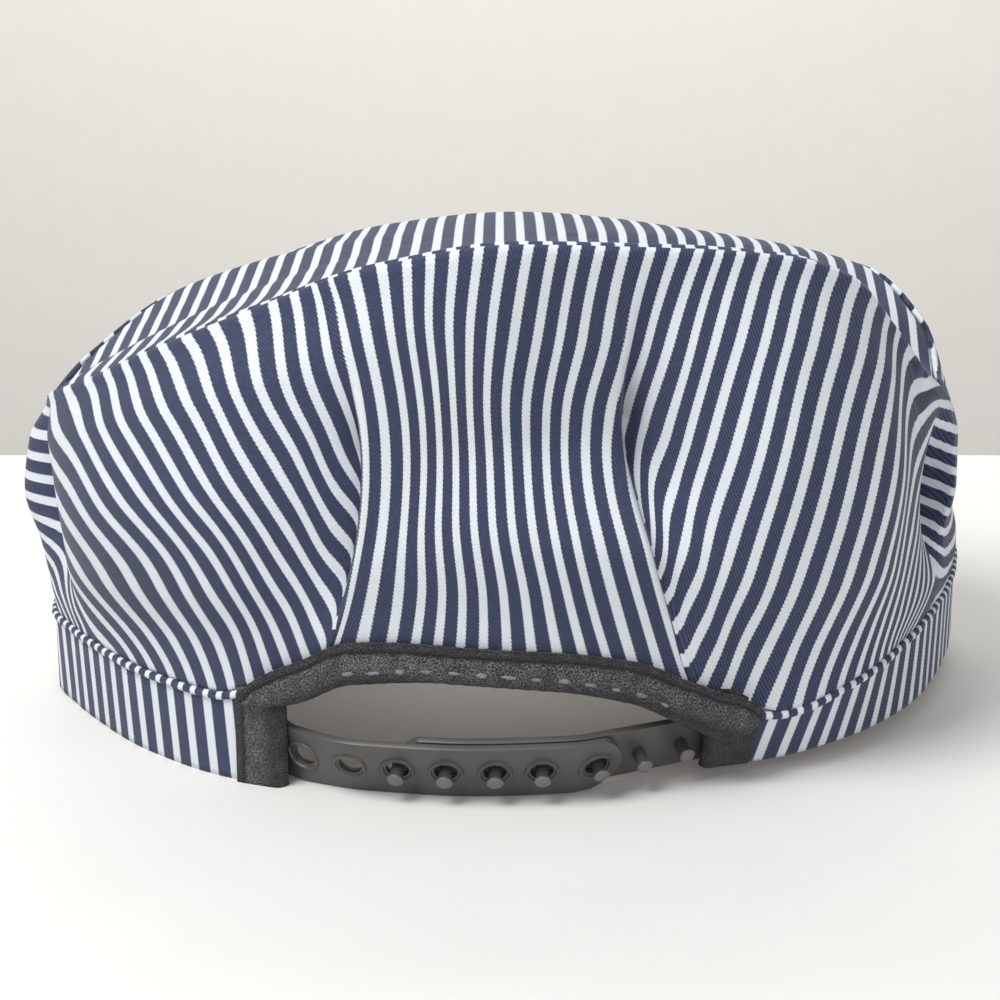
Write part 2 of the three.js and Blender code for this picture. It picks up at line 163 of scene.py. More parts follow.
def smooth(knots, values, at, closes=True):
    """Smooth curve through knots, which may close on themselves, with no overshoot between them."""
    knots = np.asarray(knots, dtype=float)
    values = np.asarray(values, dtype=float)
    at = np.asarray(at, dtype=float)
    if values.ndim == 1:
        values = np.repeat(values[:, None], at.size, axis=1)
    width = np.diff(knots)[:, None]
    slope = np.diff(values, axis=0) / width
    before, after = (-1, 0) if closes else (0, -1)
    slope_before = np.concatenate([slope[[before]], slope])
    slope_after = np.concatenate([slope, slope[[after]]])
    width_before = np.concatenate([width[[before]], width])
    width_after = np.concatenate([width, width[[after]]])
    near_before = width_before + 2 * width_after
    near_after = 2 * width_before + width_after
    same = slope_before * slope_after > 0
    slope_before = np.where(same, slope_before, 1.0)
    slope_after = np.where(same, slope_after, 1.0)
    mean = (near_before + near_after) / (near_after / slope_before + near_before / slope_after)
    tangent = np.where(same, mean, 0.0)
    knot = np.clip(np.searchsorted(knots, at, side="right") - 1, 0, len(knots) - 2)
    column = np.arange(at.size)
    span = width[knot, 0]
    t = (at - knots[knot]) / span
    low = values[knot, column]
    high = values[knot + 1, column]
    value = low * (1 + 2 * t) * (1 - t) ** 2 + high * t * t * (3 - 2 * t)
    bend = tangent[knot, column] * t * (1 - t) ** 2 - tangent[knot + 1, column] * t * t * (1 - t)
    return value + span * bend


def track(rows, key, angle):
    """A column of a table of rows round the head, at angles that may pass the half turn."""
    return smooth(rows["angle"], rows[key], np.mod(angle + 180, 360) - 180)


def outward_at(angle):
    """Outward direction of the head oval in plan."""
    turn = np.radians(angle)
    across = np.sin(turn) / HEAD_OVAL["half_width"]
    back = -np.cos(turn) / HEAD_OVAL["half_depth"]
    length = np.hypot(across, back)
    return np.stack([across / length, back / length, np.zeros_like(length)], axis=1)


def oval_place(angle, share, height, out=0.0):
    """Place on the head oval, scaled by a share and pushed out of it."""
    turn = np.radians(angle)
    x = HEAD_OVAL["x"] + share * HEAD_OVAL["half_width"] * np.sin(turn)
    y = HEAD_OVAL["y"] - share * HEAD_OVAL["half_depth"] * np.cos(turn)
    place = np.stack([x, y, np.broadcast_to(height, x.shape)], axis=1)
    return place + outward_at(angle) * np.reshape(out, (-1, 1))


def band_place(angle, height_share):
    """Band's middle surface, from its lower to its upper edge."""
    height = track(band_rows, "lift", angle) + height_share * track(band_rows, "height", angle)
    tuck = track(band_rows, "tuck", angle) * (1 - height_share)
    return oval_place(angle, track(band_rows, "share", angle), height, -tuck)


def foot_place(angle):
    rise = track(arch_rows, "rise", angle)
    out = FOOT_OUT + ARCH_LEAN * rise
    place = band_place(angle, np.ones_like(angle)) + outward_at(angle) * out[:, None]
    place[:, 2] += SEWING_GAP + rise
    return place


def ridge_place(angle):
    return oval_place(angle, track(ridge_rows, "share", angle), track(ridge_rows, "height", angle))


def hanging_place(angle, share, out):
    """Place between foot and ridge, standing out of the straight line."""
    foot = foot_place(angle)
    return foot + (ridge_place(angle) - foot) * share[:, None] + outward_at(angle) * out[:, None]


def normals_of(surface, u, v, step=0.001):
    """Outward normals of a surface of two shares, from short steps along both."""
    along = surface(u + step, v) - surface(u - step, v)
    up = surface(u, np.minimum(v + step, 1)) - surface(u, np.maximum(v - step, 0))
    normal = np.cross(along, up)
    return normal / np.linalg.norm(normal, axis=1, keepdims=True)


def wall_line(u):
    """Number of the upright line, and share of the way to the next one, at a share round the head."""
    return np.mod(u, 1.0) * (FOLD_LINES - 1)


def wall_place(u, v):
    """Crown wall's middle surface: once round the head by u, from foot to ridge by v."""
    line = wall_line(u)
    index = np.arange(FOLD_LINES)
    value = {key: smooth(index, fold_rows[key], line) for key in fold_rows}
    foot_part = (1 - v) * (1 - 2 * v)
    middle_part = 4 * v * (1 - v)
    ridge_part = 1 - foot_part - middle_part
    angle = value["foot"] * foot_part + value["middle"] * middle_part + value["ridge"] * ridge_part
    flat = np.zeros_like(line)
    stands = [flat, flat + HEM_OUT, value["low"], value["mid"], value["high"], flat]
    out = smooth(FOLD_SHARES, stands, v)
    place = hanging_place(angle, v, out)
    roll = np.clip((v - 1 + RIDGE_ROLL["share"]) / RIDGE_ROLL["share"], 0, 1)
    place -= outward_at(angle) * (RIDGE_ROLL["inwards"] * (1 - np.cos(roll * math.pi / 2)))[:, None]
    place[:, 2] -= RIDGE_ROLL["drop"] * roll ** 2
    return place


def to_frame(places):
    """Places in metres in the shared frame."""
    return (places - PATTERN_ORIGIN) * MM


def add_piece(name, shape):
    """Adds a finished shape to the scene as an object."""
    mesh = bpy.data.meshes.new(name)
    shape.to_mesh(mesh)
    shape.free()
    piece = bpy.data.objects.new(name, mesh)
    bpy.context.scene.collection.objects.link(piece)
    return piece


def laid_grid(name, columns, rows, surface, weave, closed=False):
    """Grid of faces laid on a surface of two shares, with its weave map in the cloth's own lengths."""
    shape = bmesh.new()
    bmesh.ops.create_grid(shape, x_segments=columns, y_segments=rows, size=0.5)
    shares = np.array([vert.co[:2] for vert in shape.verts]) + 0.5
    u = np.round(shares[:, 0] * columns) / columns
    v = np.round(shares[:, 1] * rows) / rows
    for vert, place in zip(shape.verts, to_frame(surface(u, v))):
        vert.co = place
    shape.verts.index_update()
    corners = [(loop.vert.index, face.index) for face in shape.faces for loop in face.loops]
    verts, faces = np.array(corners).T
    middle = np.bincount(faces, u[verts]) / np.bincount(faces)
    across, along = weave(u[verts], v[verts], middle[faces])
    layer = shape.loops.layers.uv.new("Weave")
    loops = (loop for face in shape.faces for loop in face.loops)
    for loop, s, t in zip(loops, across, along):
        loop[layer].uv = (s, t)
    if closed:
        bmesh.ops.remove_doubles(shape, verts=shape.verts, dist=0.02 * MM)
    for face in shape.faces:
        face.smooth = True
    return add_piece(name, shape)


def thicken(piece, thickness):
    """Gives a sheet its thickness, half of it to each side."""
    wall = piece.modifiers.new("Thickness", "SOLIDIFY")
    wall.thickness = thickness * MM
    wall.offset = 0.0
    wall.use_even_offset = False
    return wall


def add_node(tree, kind, inputs=None, **settings):
    """Adds a shader node, gives it its settings, and fills or links its inputs."""
    made = tree.nodes.new(kind)
    for key, value in settings.items():
        setattr(made, key, value)
    for key, value in (inputs or {}).items():
        if isinstance(value, bpy.types.NodeSocket):
            tree.links.new(value, made.inputs[key])
        else:
            made.inputs[key].default_value = value
    return made


def calculate(tree, operation, first, second=0.0, third=0.0):
    made = add_node(tree, "ShaderNodeMath", {0: first, 1: second, 2: third}, operation=operation)
    return made.outputs[0]


def blend_colours(tree, factor, first, second):
    made = add_node(tree, "ShaderNodeMix", {0: factor, 6: first, 7: second}, data_type="RGBA")
    return made.outputs[2]


def new_material(name, roughness=0.5, specular=0.5, sheen=0.0):
    """New material, with its node tree and its shader."""
    material = bpy.data.materials.new(name)
    material.use_nodes = True
    tree = material.node_tree
    shader = tree.nodes["Principled BSDF"]
    shader.inputs["Roughness"].default_value = roughness
    shader.inputs["Specular IOR Level"].default_value = specular
    shader.inputs["Sheen Weight"].default_value = sheen
    shader.inputs["Sheen Roughness"].default_value = 0.5
    return material, tree, shader


def add_noise(tree, place, scale, detail):
    made = add_node(tree, "ShaderNodeTexNoise", {"Vector": place, "Scale": scale, "Detail": detail})
    return made.outputs["Fac"]


def add_relief(tree, shader, height, strength, distance):
    inputs = {"Strength": strength, "Distance": distance, "Height": height}
    made = add_node(tree, "ShaderNodeBump", inputs)
    tree.links.new(made.outputs[0], shader.inputs["Normal"])


def ripple(tree, along, waves):
    """Even waves, from -1 to 1, so many to each unit of length."""
    return calculate(tree, "SINE", calculate(tree, "MULTIPLY", along, waves * 2 * math.pi))


def srgb(*levels):
    """Colour from its values as seen on a screen."""
    shares = (level / 255 for level in levels)
    return tuple(c / 12.92 if c <= 0.04045 else ((c + 0.055) / 1.055) ** 2.4 for c in shares) + (1.0,)


NAVY_DARK = srgb(25, 29, 47)
NAVY_LIGHT = srgb(74, 83, 113)
STRIPE_WHITE = srgb(222, 226, 231)
STRIPE_SHADE = srgb(192, 198, 210)
WHITE_HALF_WIDTH = 0.2
WHITE_EDGE = 0.02
TWILL_LINES = 5.2
TWILL_SLOPE = 1.6
TWILL_STEP = 0.03
TWILL_TONE = 0.55
YARN_WOBBLE = 0.06
LINT_TONE = 0.5


def striped_twill(name):
    """Cotton twill with narrow white stripes on navy, drawn in the weave map's stripe pitches."""
    material, tree, shader = new_material(name, roughness=0.88, specular=0.25, sheen=0.12)
    weave = add_node(tree, "ShaderNodeUVMap", uv_map="Weave").outputs["UV"]
    parts = add_node(tree, "ShaderNodeSeparateXYZ", {0: weave})
    across = parts.outputs["X"]
    slant = calculate(tree, "MULTIPLY_ADD", across, TWILL_SLOPE, parts.outputs["Y"])
    twill = calculate(tree, "MULTIPLY_ADD", ripple(tree, slant, TWILL_LINES), 0.5, 0.5)
    yarns = add_noise(tree, weave, 14.0, 2.0)
    wobble = calculate(tree, "MULTIPLY_ADD", yarns, YARN_WOBBLE, -YARN_WOBBLE / 2)
    stepped = calculate(tree, "MULTIPLY_ADD", twill, TWILL_STEP, wobble)
    place = calculate(tree, "ADD", across, stepped)
    cell = calculate(tree, "FRACT", calculate(tree, "ADD", place, 0.5))
    distance = calculate(tree, "ABSOLUTE", calculate(tree, "SUBTRACT", cell, 0.5))
    white = add_node(tree, "ShaderNodeMapRange", {
        "Value": distance,
        "From Min": WHITE_HALF_WIDTH - WHITE_EDGE,
        "From Max": WHITE_HALF_WIDTH + WHITE_EDGE,
        "To Min": 1.0,
        "To Max": 0.0,
    }).outputs[0]
    lint = add_noise(tree, weave, 5.0, 5.0)
    ridges = calculate(tree, "MULTIPLY", twill, TWILL_TONE)
    worn = calculate(tree, "MULTIPLY_ADD", lint, LINT_TONE, ridges)
    navy = blend_colours(tree, worn, NAVY_DARK, NAVY_LIGHT)
    shaded = calculate(tree, "MULTIPLY", worn, 0.55)
    pale = blend_colours(tree, shaded, STRIPE_WHITE, STRIPE_SHADE)
    tree.links.new(blend_colours(tree, white, navy, pale), shader.inputs["Base Color"])
    raised = calculate(tree, "MULTIPLY_ADD", yarns, 0.6, calculate(tree, "MULTIPLY", twill, 0.7))
    add_relief(tree, shader, raised, 0.5, 0.00012)
    return material


# Number of the white stripe that crosses the upright lines, and places between them, at six even heights
# from foot to ridge. Lines 10 to 14 are on the pleat and the others on the side panel, which runs round
# the front.
STRIPE_HEIGHTS = [0, 0.2, 0.4, 0.6, 0.8, 1]
STRIPE_LEVELS = "foot lower low high higher ridge"
stripe_rows = table("line " + STRIPE_LEVELS, [
    (0, 7, 7, 7, 7, 7, 7),
    (1, -9.4, -8.3, -7.2, -6.0, -4.9, -3.8),
    (2, -19.8, -18.0, -16.2, -14.3, -12.5, -10.7),
    (3, -24.4, -22.2, -20.0, -17.8, -15.6, -13.6),
    (4, -24.0, -21.9, -19.6, -17.4, -15.3, -13.5),
    (5, -21.2, -19.9, -18.4, -16.8, -15.0, -13.2),
    (6, -18.6, -17.4, -16.3, -15.2, -13.8, -12.7),
    (6.5, -18.0, -16.2, -15.4, -14.3, -12.8, -11.4),
    (7, -16.2, -14.6, -13.8, -12.2, -10.5, -9.0),
    (7.5, -14.2, -13.0, -12.0, -10.1, -8.4, -6.7),
    (8, -12.0, -10.9, -9.5, -7.6, -6.2, -4.9),
    (8.4, -10.1, -8.3, -6.3, -4.7, -3.6, -3.4),
    (8.7, -8.8, -6.4, -3.9, -2.1, -1.6, -1.8),
    (9, -7.9, -5.3, -2.8, -0.5, -0.3, -0.7),
    (10, -0.15, -0.15, -0.15, -0.15, -0.1, -0.2),
    (10.5, 1.1, 1.25, 1.25, 1.3, 1.4, 1.25),
    (11, 3.3, 3.2, 3.5, 3.5, 3.6, 3.1),
    (12, 7.4, 7.3, 7.6, 7.6, 7.1, 6.4),
    (13, 11.0, 11.1, 11.2, 10.8, 10.0, 9.7),
    (13.4, 12.55, 12.4, 12.45, 12.0, 11.3, 11.25),
    (13.6, 13.2, 13.05, 13.1, 12.6, 11.9, 12.0),
    (13.8, 13.7, 13.6, 13.55, 13.05, 12.4, 12.55),
    (14, 14.0, 13.86, 13.84, 13.33, 12.75, 12.9),
    (15, 21.5, 18.6, 15.0, 13.8, 13.4, 13.5),
    (15.3, 21.8, 18.9, 15.8, 14.2, 13.8, 13.9),
    (15.6, 22.3, 19.5, 17.0, 15.1, 14.6, 14.5),
    (16, 23.1, 20.4, 18.2, 16.4, 15.8, 15.6),
    (16.5, 24.2, 22.0, 20.2, 18.9, 18.2, 17.7),
    (17, 25.4, 23.7, 22.5, 21.6, 20.8, 19.8),
    (18, 28.2, 26.6, 25.9, 25.4, 24.3, 23.1),
    (19, 31.0, 30.1, 29.4, 28.7, 27.5, 26.0),
    (20, 36.5, 36.0, 33.9, 31.9, 29.7, 27.1),
    (21, 37.0, 35.3, 33.4, 31.3, 29.2, 27.4),
    (22, 36.0, 34.3, 32.6, 30.9, 29.1, 27.2),
    (23, 26.6, 25.6, 24.2, 22.9, 21.6, 20.2),
    (24, 7, 7, 7, 7, 7, 7),
])
FOLD_UNDER = 0.8
FOLD_UNDER_SHARE = 0.6
FOLD_OPENS = {"from": 0.56, "over": 0.12}


def stripe_number(rows, knots, at, v):
    """Stripe number on one panel of the wall, walked across its rows of the table and then up."""
    at = np.clip(at, knots[0], knots[-1])
    columns = (stripe_rows[key][rows] for key in STRIPE_LEVELS.split())
    levels = np.array([smooth(knots, column, at, closes=False) for column in columns])
    return smooth(STRIPE_HEIGHTS, levels, v, closes=False)


def wall_weave(u, v, middle):
    """Stripe number, and height in stripe pitches, of each face's corners, by the face's middle."""
    last = FOLD_LINES - 1
    line = wall_line(u) + (np.abs(u - 1) < 1e-9) * last
    face = middle * last
    lines = stripe_rows["line"]
    left_rows = np.flatnonzero((lines > 0) & (lines <= PLEAT_ROOT_LEFT))
    right_rows = np.flatnonzero(lines >= PLEAT_ROOT_RIGHT)
    side_knots = np.concatenate([lines[right_rows], lines[left_rows] + last])
    side_rows = np.concatenate([right_rows, left_rows])
    side_line = np.where(line < PLEAT_MIDDLE, line + last, line)
    side = stripe_number(side_rows, side_knots, side_line, v)
    pleat_rows = np.flatnonzero((lines >= PLEAT_EDGE_LEFT) & (lines <= PLEAT_EDGE_RIGHT))
    pleat = stripe_number(pleat_rows, lines[pleat_rows], line, v)
    under_left = np.clip(PLEAT_EDGE_LEFT - line, 0, 1)
    under_right = np.clip(line - PLEAT_EDGE_RIGHT, 0, 1)
    flat = np.clip((v - FOLD_OPENS["from"]) / FOLD_OPENS["over"], 0, 1)
    tucked = pleat + FOLD_UNDER * (under_right - under_left)
    by_root = (face < PLEAT_EDGE_LEFT - FOLD_UNDER_SHARE) | (face > PLEAT_EDGE_RIGHT + FOLD_UNDER_SHARE)
    tucked = np.where(by_root, side, tucked)
    tucked = tucked + (pleat + (side - pleat) * (under_left + under_right) - tucked) * flat
    on_side = (face < PLEAT_ROOT_LEFT) | (face > PLEAT_ROOT_RIGHT)
    on_pleat = (face > PLEAT_EDGE_LEFT) & (face < PLEAT_EDGE_RIGHT)
    number = np.where(on_side, side, np.where(on_pleat, pleat, tucked))
    return number, wall_place(u, v)[:, 2] / STRIPE_PITCH


REVERSE_TAUPE = srgb(190, 177, 164)
REVERSE_SHADE = srgb(172, 160, 148)


def plain_reverse(name):
    """Plain taupe inner side of the cloth, as it shows through the opening at the back."""
    material, tree, shader = new_material(name, roughness=0.9, specular=0.2)
    nap = add_noise(tree, add_node(tree, "ShaderNodeUVMap", uv_map="Weave").outputs["UV"], 3.0, 6.0)
    tree.links.new(blend_colours(tree, nap, REVERSE_TAUPE, REVERSE_SHADE), shader.inputs["Base Color"])
    add_relief(tree, shader, nap, 0.4, 0.0001)
    return material


cloth_reverse = plain_reverse("Plain cloth reverse")
striped_cloth = striped_twill("Striped twill")
crown_wall = laid_grid(
    "crown_wall_cloth", COLUMNS_A_FOLD * (FOLD_LINES - 1), WALL_ROWS, wall_place, wall_weave, closed=True
)
thicken(crown_wall, CLOTH_THICKNESS).material_offset = 1
crown_wall.data.materials.append(striped_cloth)
crown_wall.data.materials.append(cloth_reverse)
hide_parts("crown_wall")
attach(crown_wall, "root")

# Crown top. A round panel of the same cloth, its stripes running from back to front, sewn inside the
# wall's upper edge. It sinks a little towards the middle, where nothing holds it up.
TOP_SEAM_INSET = 1.5
TOP_TUCK = {"share": 0.03, "drop": 2.1}
TOP_RING_CROWDING = 1.5
CROWN_CENTRE = {"height": 109.0, "fall": 1.9}
TOP_COLUMNS = 216
TOP_RINGS = 48


def top_place(u, v):
    angle = u * 360 - 180
    edge = ridge_place(angle) - outward_at(angle) * TOP_SEAM_INSET
    centre = np.array((HEAD_OVAL["x"], HEAD_OVAL["y"], 0.0))
    share = 1 - (1 - v) ** TOP_RING_CROWDING
    place = centre + (edge - centre) * share[:, None]
    above_centre = edge[:, 2] - CROWN_CENTRE["height"]
    place[:, 2] = CROWN_CENTRE["height"] + above_centre * share ** CROWN_CENTRE["fall"]
    tuck = np.clip((share - 1 + TOP_TUCK["share"]) / TOP_TUCK["share"], 0, 1)
    place[:, 2] -= TOP_TUCK["drop"] * tuck ** 2
    return place


def top_weave(u, v, middle):
    place = top_place(u, v)
    return place[:, 0] / STRIPE_PITCH, place[:, 1] / STRIPE_PITCH


crown_top = laid_grid("crown_top_cloth", TOP_COLUMNS, TOP_RINGS, top_place, top_weave, closed=True)
crown_top.data.flip_normals()
thicken(crown_top, CLOTH_THICKNESS).material_offset = 1
crown_top.data.materials.append(striped_cloth)
crown_top.data.materials.append(cloth_reverse)
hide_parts("crown_top")
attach(crown_top, "root")

# Headband. A stiffened strip of the same cloth round the head, open at the back where the strap closes
# it. A rolled welt is caught in the seam between the band and the crown.
BAND_THICKNESS = 2.2
BAND_END = {"left": -28.6, "right": 24.2}
BAND_COLUMNS = 420
BAND_ROWS = 12
BAND_STRIPE_LEAN = 0.5
BAND_STRIPE_PITCH = 5.6
BAND_WEAVE_HEIGHT = 4.0
BAND_SPAN = 360 + BAND_END["left"] - BAND_END["right"]
WELT = {"radius": 0.95, "set_back": 2.8, "band_share": 0.96, "out": 1.1}
WELT_LIFT = {"rise": 2.0, "reach": 3.4}
WELT_WEAVE = {"along": 1.3, "round": 1.2}
WELT_GRID = (600, 10)


def band_angle(u):
    return BAND_END["right"] + u * BAND_SPAN


def band_surface(u, v):
    return band_place(band_angle(u), v)


band_shares = np.linspace(0, 1, 721)
band_steps = np.linalg.norm(np.diff(band_surface(band_shares, np.full(721, 0.5)), axis=0), axis=1)
band_walk = np.concatenate([[0.0], np.cumsum(band_steps)])


def band_weave(u, v, middle):
    number = np.interp(u, band_shares, band_walk) / BAND_STRIPE_PITCH
    turn = np.radians(band_angle(u))
    return number - BAND_STRIPE_LEAN * np.sin(turn) * v, v * BAND_WEAVE_HEIGHT


headband = laid_grid("headband_cloth", BAND_COLUMNS, BAND_ROWS, band_surface, band_weave)
thicken(headband, BAND_THICKNESS).material_offset = 1
headband.data.materials.append(striped_cloth)
headband.data.materials.append(cloth_reverse)
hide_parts("headband")
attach(headband, "root")


def welt_share(u):
    """Share along the band of a share along the welt, which stops short of both ends."""
    set_back = WELT["set_back"] / BAND_SPAN
    return set_back + u * (1 - 2 * set_back)


def welt_surface(u, v):
    angle = band_angle(welt_share(u))
    turn = v * 2 * math.pi
    centre = band_place(angle, np.full_like(angle, WELT["band_share"])) + outward_at(angle) * WELT["out"]
    from_end = np.minimum(u, 1 - u) * (BAND_SPAN - 2 * WELT["set_back"])
    centre[:, 2] += WELT_LIFT["rise"] * np.exp(-(from_end / WELT_LIFT["reach"]) ** 2)
    rise = np.stack([np.zeros_like(turn), np.zeros_like(turn), np.sin(turn)], axis=1)
    return centre + WELT["radius"] * (outward_at(angle) * np.cos(turn)[:, None] + rise)


def welt_weave(u, v, middle):
    walked = np.interp(welt_share(u), band_shares, band_walk)
    return walked / STRIPE_PITCH * WELT_WEAVE["along"], v * WELT_WEAVE["round"]


welt = laid_grid("band_welt", *WELT_GRID, welt_surface, welt_weave, closed=True)
welt.data.materials.append(striped_cloth)
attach(welt, "root")

# Peak. A stiff curved board covered with the same cloth, sewn under the band's lower front edge.
PEAK = {
    "half_angle": 56.0,
    "depth": 47.0,
    "tip_depth": 3.0,
    "thickness": 3.0,
    "arch": 5.0,
    "lowest": -0.4,
    "root_above": 3.0,
    "bluntness": 2.4,
    "outward_share": 0.35,
    "bow": 1.2,
}
PEAK_GRID = (160, 28)


def peak_surface(u, v):
    across = 2 * u - 1
    angle = 180 + across * PEAK["half_angle"]
    clear = BAND_THICKNESS / 2 + 2 * SEWING_GAP
    root = band_place(angle, np.zeros_like(angle)) + outward_at(angle) * clear
    root[:, 2] += PEAK["root_above"]
    fullness = np.maximum(1 - np.abs(across) ** PEAK["bluntness"], 0) ** 0.6
    depth = PEAK["tip_depth"] + PEAK["depth"] * fullness
    arch_share = np.maximum(np.cos(np.pi * across / 1.5), 0) ** 2
    edge_height = root[:, 2] + (PEAK["lowest"] + PEAK["arch"] * arch_share - root[:, 2]) * fullness
    edge = root + outward_at(angle) * (depth * PEAK["outward_share"])[:, None]
    edge[:, 1] += depth * (1 - PEAK["outward_share"])
    edge[:, 2] = edge_height
    place = root + (edge - root) * v[:, None]
    place[:, 2] = root[:, 2] + (edge_height - root[:, 2]) * v ** PEAK["bow"]
    return place


def peak_weave(u, v, middle):
    place = peak_surface(u, v)
    return place[:, 0] / STRIPE_PITCH, place[:, 1] / STRIPE_PITCH


peak = laid_grid("peak_cloth", *PEAK_GRID, peak_surface, peak_weave)
thicken(peak, PEAK["thickness"])
peak.data.materials.append(striped_cloth)
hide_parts("peak")
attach(peak, "root")

# Bindings. Black woven cotton tape, folded over the arched edge above the strap and over both ends of
# the band, with a row of grey stitches through the arched one.
TAPE = {"thickness": 0.8, "end_width": 9.0, "clearance": 0.65}
TAPE_HALF_GAP = CLOTH_THICKNESS / 2 + TAPE["clearance"] + TAPE["thickness"] / 2
ARCH_TAPE_GRID = (240, 36)
END_TAPE_GRID = (40, 24)
ARCH_END = {"left": -32.4, "right": 29.0}
arch_tape_rows = table("share height drop stand", [
    (0, 1.2, 1.6, 0.8),
    (0.05, 5.4, 1.8, 1.0),
    (0.12, 7.8, 1.6, 0.5),
    (0.22, 8.2, 0.0, 0),
    (0.42, 7.0, 0.0, 0),
    (0.6, 7.4, 0.0, 0),
    (0.75, 8.4, 0.6, 0),
    (0.86, 9.2, 2.6, 0.8),
    (0.93, 9.4, 4.6, 1.6),
    (0.97, 6.6, 3.4, 1.6),
    (1, 1.4, 0.6, 0.8),
])
TAPE_SEAM = {"from_hem": 2.5, "half_width": 0.45, "depth": 0.4, "fullness": 0.15, "crumple": 0.2}


def crumpled(first, second):
    """Soft uneven waves, from -1 to 1, over two lengths in millimetres."""
    slow = np.sin(first * 1.9 + 1.3 * np.sin(second * 1.1))
    slow = slow * np.sin(second * 2.3 + 0.8 * np.sin(first * 0.7))
    fast = np.sin(first * 5.1 + 2.0 * np.sin(second * 2.9))
    fast = fast * np.sin(second * 5.7 + 1.6 * np.sin(first * 3.3))
    return 0.6 * slow + 0.4 * fast


def tape_relief(from_hem, along):
    """How far a sewn tape stands out: a groove at the seam near its hem, and full below it."""
    groove = np.exp(-((from_hem - TAPE_SEAM["from_hem"]) / TAPE_SEAM["half_width"]) ** 2)
    full = np.sin(np.clip((from_hem - TAPE_SEAM["from_hem"]) / 6.0, 0, 1) * math.pi)
    crumple = TAPE_SEAM["crumple"] * crumpled(along, from_hem)
    return TAPE_SEAM["fullness"] * full - TAPE_SEAM["depth"] * groove + crumple


def folded_section(share, half_gap, leg):
    """Section of a tape folded round an edge, walked from its outer hem to its inner one."""
    bend = math.pi * half_gap
    walked = share * (2 * leg + bend)
    turn = np.clip((walked - leg) / half_gap, 0, math.pi)
    across = half_gap * np.cos(turn)
    along = np.where(walked < leg, leg - walked, np.where(walked > leg + bend, walked - leg - bend, 0.0))
    inside = (walked >= leg) & (walked <= leg + bend)
    along = np.where(inside, -half_gap * np.sin(turn), along)
    return across, along


ARCH_TAPE_LENGTH = 124.0
ARCH_TAPE_BEND = 5.0


def arch_tape_value(key, u):
    return smooth(arch_tape_rows["share"], arch_tape_rows[key], u, closes=False)


def arch_tape_surface(u, v):
    angle = ARCH_END["left"] + u * (ARCH_END["right"] - ARCH_END["left"])
    leg, drop, stand = (arch_tape_value(key, u) for key in ("height", "drop", "stand"))
    across, along = folded_section(1 - v, TAPE_HALF_GAP, leg)
    foot = foot_place(angle)
    line = ridge_place(angle) - foot
    length = np.linalg.norm(line, axis=1)

    def hem(turn, share):
        return hanging_place(turn, share, HEM_OUT * share / HEM_SHARE)

    share = np.maximum(along, 0) / length
    from_hem = (1 - v) * (2 * leg + math.pi * TAPE_HALF_GAP)
    across = across + (across > 0) * tape_relief(from_hem, u * ARCH_TAPE_LENGTH)
    place = hem(angle, share) + normals_of(hem, angle, share) * (across + stand)[:, None]
    return place + line / length[:, None] * (np.minimum(along, 0) - SEWING_GAP - drop)[:, None]


def arch_tape_weave(u, v, middle):
    return u * ARCH_TAPE_LENGTH, (1 - v) * (2 * arch_tape_value("height", u) + ARCH_TAPE_BEND)


TAPE_BLACK = srgb(17, 17, 19)
TAPE_GREY = srgb(150, 150, 155)
TAPE_YARNS = {"ribs": 0.62, "picks": 0.55}

# How pale the tape is by the distance from its outer hem, part grey lint and part painted light: palest on
# the raised band below the seam (painted highlight), darkest in the seam's groove and darker towards the
# fold (painted shade)
TAPE_LINT_AND_PAINTED_LIGHT = [
    (0.0, 0.12),
    (1.6, 0.3),
    (2.5, 0.0),
    (3.4, 0.62),
    (5.6, 0.66),
    (7.4, 0.5),
    (9.2, 0.2),
    (12.0, 0.3),
]


